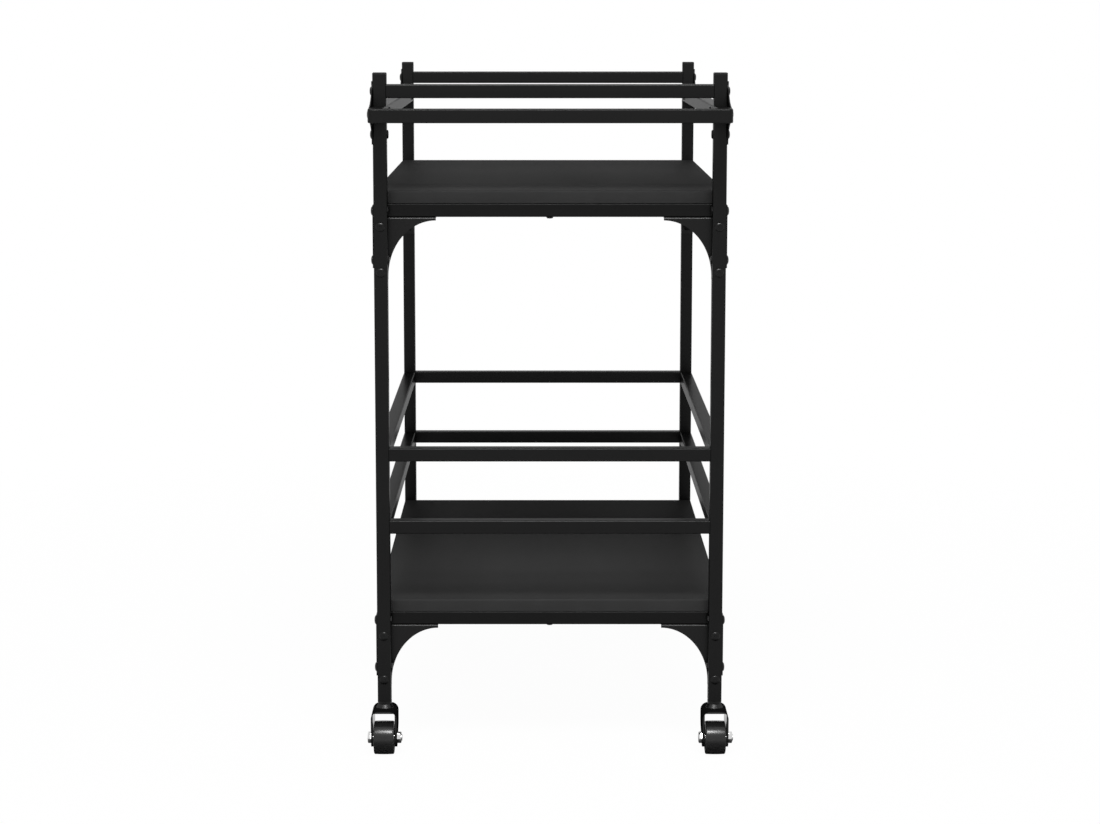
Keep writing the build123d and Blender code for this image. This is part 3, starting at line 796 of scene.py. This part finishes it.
class CART_OT_fit_casters(bpy.types.Operator):
    """Fit the casters: enamelled forks, solid wheels on bushings and plated axle bolts"""

    bl_idname = "cart.fit_casters"
    bl_label = "Fit Casters"

    def execute(self, context):
        along_x = Matrix.Rotation(math.pi / 2, 4, "Y") @ Matrix.Rotation(math.pi / 2, 4, "Z")
        for corner in CORNERS:
            roller, swivel = f"roller_{corner}", f"swivel_{corner}"
            paint(f"fork_{corner}", fork_enamel())
            low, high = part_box(f"wheel_{corner}")
            hub = Matrix.Translation((low + high) / 2)
            middle_x, half, radius = (low.x + high.x) / 2, (high.x - low.x) / 2, (high.z - low.z) / 2
            body = wheel_body(radius)
            bmesh.ops.transform(body, matrix=hub, verts=body.verts)
            piece(f"solid_wheel_{corner}", body, (wheel_plastic(), polished_plastic()), roller, "wheel",
                  f"wheel_{corner}", sharp=WHEEL_SHARP)
            sleeve = bushing(half)
            bmesh.ops.transform(sleeve, matrix=hub, verts=sleeve.verts)
            piece(f"bushing_{corner}", sleeve, (bright_plating(),), roller, "axle")
            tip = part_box(f"axle_{corner}")[1].x - middle_x
            leg_left, leg_right = (side.x - middle_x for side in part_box(f"fork_{corner}"))
            bolt = axle_bolt(leg_left, leg_right, tip)
            bmesh.ops.transform(bolt, matrix=hub @ along_x, verts=bolt.verts)
            piece(f"axle_bolt_{corner}", bolt, (bright_plating(),), swivel, "axle", f"axle_{corner}")
        return {"FINISHED"}


def shown_white(tree, seen=None):
    """A factor of 1 for glossy and transmission rays, and of 1 or a given share for camera rays."""
    path = tree.nodes.new("ShaderNodeLightPath")
    total = path.outputs["Is Camera Ray"]
    if seen:
        total = maths(tree, "MULTIPLY", total, seen)
    for ray in ("Is Glossy Ray", "Is Transmission Ray"):
        total = maths(tree, "MAXIMUM", total, path.outputs[ray])
    return total


def pale_floor():
    """A floor that looks white, a little less so under the cart, with a painted shadow round the wheels:
    there it is mirrored dark, seen only in reflections.
    """
    s = stage()
    material = bpy.data.materials.new("pale_floor")
    material.use_nodes = True
    tree = material.node_tree
    nodes, links = tree.nodes, tree.links
    nodes.clear()
    place = nodes.new("ShaderNodeTexCoord").outputs["Object"]
    from_middle = vector_maths(tree, "LENGTH", place)
    seen = remap(tree, from_middle, (s.floor_near, s.floor_far), (s.floor_seen, 1.0))

    # Painted shadow: glossy rays see the floor's glow fade to dark near each wheel, for its contact shadow.
    hubs = [sum(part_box(f"wheel_{corner}"), Vector()) / 2 for corner in CORNERS]
    hub_y = sum(hub.y for hub in hubs) / len(hubs)
    quarter = vector_maths(tree, "ABSOLUTE", vector_maths(tree, "SUBTRACT", place, (0.0, hub_y, 0.0)))
    wheel_shadow_spot = (abs(hubs[0].x), abs(hubs[0].y - hub_y), 0.0)
    from_wheel = vector_maths(tree, "LENGTH", vector_maths(tree, "SUBTRACT", quarter, wheel_shadow_spot))
    strength = nodes.new("ShaderNodeMix")
    strength.inputs["A"].default_value = 1.0
    links.new(nodes.new("ShaderNodeLightPath").outputs["Is Glossy Ray"], strength.inputs["Factor"])
    links.new(remap(tree, from_wheel, (s.shadow_mirror_near, s.shadow_mirror_far)), strength.inputs["B"])

    matt = nodes.new("ShaderNodeBsdfDiffuse")
    matt.inputs["Color"].default_value = (s.floor_grey, s.floor_grey, s.floor_grey, 1.0)
    glow = nodes.new("ShaderNodeEmission")
    links.new(strength.outputs["Result"], glow.inputs["Strength"])
    join_shaders(tree, shown_white(tree, seen), matt.outputs["BSDF"], glow.outputs["Emission"],
                 "ShaderNodeOutputMaterial")
    return material


def lay_floor():
    """A wide floor just below the wheels."""
    s = stage()
    bm = bmesh.new()
    bmesh.ops.create_grid(bm, x_segments=1, y_segments=1, size=s.floor_size)
    mesh = bpy.data.meshes.new("floor")
    bm.to_mesh(mesh)
    bm.free()
    mesh.materials.append(pale_floor())
    floor = link_object("floor", mesh)
    floor.location.z = -s.floor_drop


def surroundings():
    """A world of even light, which is white to the camera and in reflections."""
    world = bpy.data.worlds.new("surroundings")
    world.use_nodes = True
    tree = world.node_tree
    tree.nodes.clear()
    even, white = (tree.nodes.new("ShaderNodeBackground") for _ in range(2))
    for light, strength in ((even, stage().ambient), (white, 1.0)):
        light.inputs["Color"].default_value = (1.0, 1.0, 1.0, 1.0)
        light.inputs["Strength"].default_value = strength
    join_shaders(tree, shown_white(tree), even.outputs["Background"], white.outputs["Background"],
                 "ShaderNodeOutputWorld")
    return world


def softbox(name, watts, size, ahead, height, aim):
    """A rectangular lamp some way ahead of the posts and above the floor, pointed at a place."""
    lamp = bpy.data.lights.new(name, "AREA")
    lamp.shape = "RECTANGLE"
    lamp.size, lamp.size_y = size
    lamp.energy = watts
    obj = link_object(name, lamp)
    obj.location = (0.0, FRONT_Y - ahead, height)
    obj.rotation_euler = (Vector(aim) - obj.location).to_track_quat("-Z", "Y").to_euler()
    return obj


def light_cart():
    """Two softboxes that only show as gloss, and a large one further up that only lights."""
    s = stage()
    middle = (0.0, 0.0, 0.35)
    front = softbox("front_softbox", s.key_power, (0.66, 0.45), ahead=1.3, height=1.85, aim=middle)
    wide = softbox("wide_softbox", s.wide_power, (2.2, 0.45), ahead=1.32, height=1.88, aim=middle)
    top = softbox("top_softbox", s.top_power, (2.4, 1.2), ahead=1.95, height=3.5, aim=(0.0, FRONT_Y, 0.5))
    front.visible_diffuse = False
    wide.visible_diffuse = False
    top.visible_glossy = False


def place_camera():
    """A camera in front of the cart, tilted down a little."""
    s = stage()
    camera = bpy.data.cameras.new("camera")
    camera.sensor_width = 36.0
    camera.lens = s.lens
    camera.shift_x = s.shift_x
    camera.shift_y = s.shift_y
    holder = link_object("camera", camera)
    holder.location = (s.camera_side, FRONT_Y - s.camera_distance, s.camera_height)
    holder.rotation_euler = (math.radians(90) - s.camera_tilt, 0, 0)
    bpy.context.scene.camera = holder


class CART_OT_set_stage(bpy.types.Operator):
    """Set the white floor and surroundings, the softboxes and the camera"""

    bl_idname = "cart.set_stage"
    bl_label = "Set Stage"

    def execute(self, context):
        context.scene.view_settings.view_transform = "Standard"
        lay_floor()
        context.scene.world = surroundings()
        light_cart()
        place_camera()
        return {"FINISHED"}


OPERATORS = (
    CART_OT_coat_frame,
    CART_OT_lay_boards,
    CART_OT_fit_bolts,
    CART_OT_fit_nuts,
    CART_OT_fit_screws,
    CART_OT_fit_casters,
    CART_OT_set_stage,
)


class VIEW3D_PT_cart(bpy.types.Panel):
    """The cart's steps, in order"""

    bl_label = "Kitchen Cart"
    bl_idname = "VIEW3D_PT_cart"
    bl_space_type = "VIEW_3D"
    bl_region_type = "UI"
    bl_category = "Cart"

    def draw(self, context):
        for operator in OPERATORS:
            self.layout.operator(operator.bl_idname)
        for group in (context.scene.cart_finishes, context.scene.cart_sizes, context.scene.cart_stage):
            box = self.layout.box()
            for name in group.__annotations__:
                box.prop(group, name)


CLASSES = (CartFinishes, CartSizes, CartStage, *OPERATORS, VIEW3D_PT_cart)


def register():
    for cls in CLASSES:
        bpy.utils.register_class(cls)
    bpy.types.Scene.cart_finishes = PointerProperty(type=CartFinishes)
    bpy.types.Scene.cart_sizes = PointerProperty(type=CartSizes)
    bpy.types.Scene.cart_stage = PointerProperty(type=CartStage)


def unregister():
    del bpy.types.Scene.cart_stage
    del bpy.types.Scene.cart_sizes
    del bpy.types.Scene.cart_finishes
    for cls in reversed(CLASSES):
        bpy.utils.unregister_class(cls)


def main():
    register()
    bpy.ops.cart.coat_frame()
    bpy.ops.cart.lay_boards()
    bpy.ops.cart.fit_bolts()
    bpy.ops.cart.fit_nuts()
    bpy.ops.cart.fit_screws()
    bpy.ops.cart.fit_casters()
    bpy.ops.cart.set_stage()


if __name__ == "__main__":
    main()
